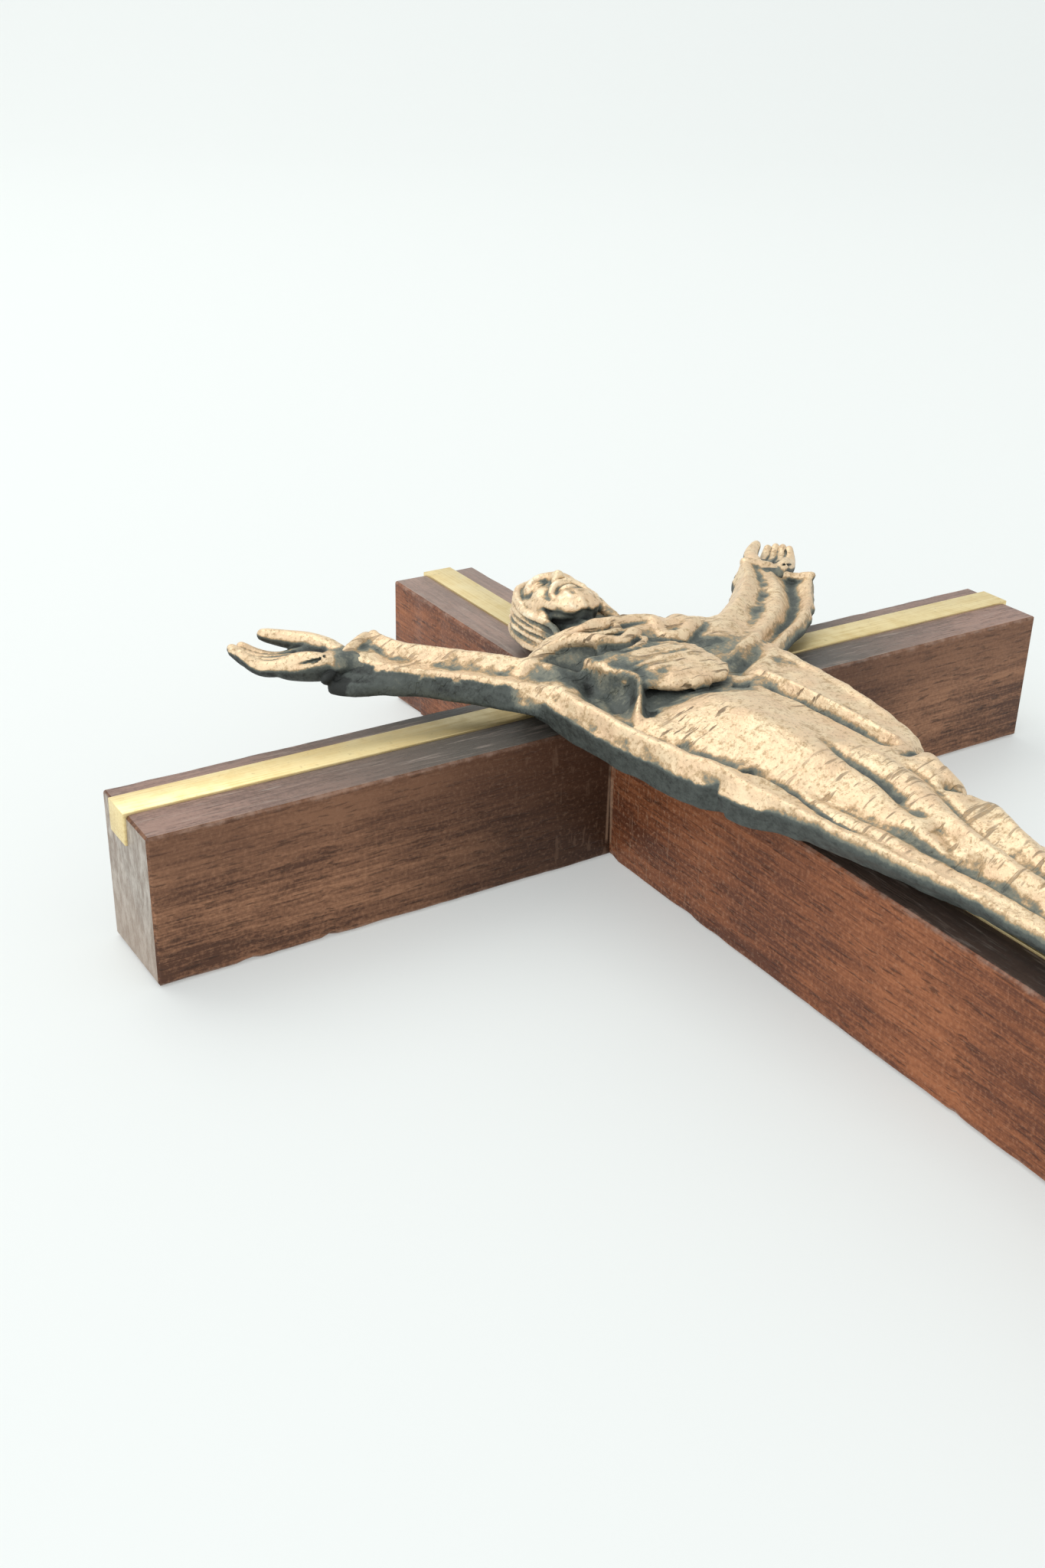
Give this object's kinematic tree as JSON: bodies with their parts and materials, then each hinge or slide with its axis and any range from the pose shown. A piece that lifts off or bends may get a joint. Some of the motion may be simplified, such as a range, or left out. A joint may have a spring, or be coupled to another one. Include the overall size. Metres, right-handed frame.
{
  "type": "altar cross",
  "caption": "Wooden altar cross with inlaid brass strips and a cast bronze robed figure with raised arms, lying on its back, with a keyhole hanger.",
  "frame": {"origin": "centre of the crossing on the back face, where the cross lies on a table or against a wall", "axes": "+X to the right arm as seen from the front, +Y along the upright to its top end, +Z out of the front"},
  "size_m": [0.1888, 0.3058, 0.0426],
  "materials": {
    "upright_wood": "dark oiled hardwood, grain along Y",
    "crossbar_wood": "dark oiled hardwood, grain along X",
    "inlay_brass": "dull brushed brass",
    "left_inlay_brass": "dull brushed brass",
    "right_inlay_brass": "dull brushed brass",
    "bronze": "antiqued cast bronze, dark in the hollows",
    "screw_steel": "zinc plated",
    "washer_steel": "zinc plated",
    "hanger_brass": "brass plated sheet",
    "hanger_screw_brass": "turned brass"
  },
  "bodies": {
    "root": {"upright": "upright_wood", "crossbar": "crossbar_wood", "upright_inlay": "inlay_brass", "left_inlay": "left_inlay_brass", "right_inlay": "right_inlay_brass", "figure": "bronze", "upper_figure_screw": "screw_steel", "lower_figure_screw": "screw_steel", "figure_washers": "washer_steel", "hanger_plate": "hanger_brass", "hanger_screws": "hanger_screw_brass"}
  },
  "joints": []
}
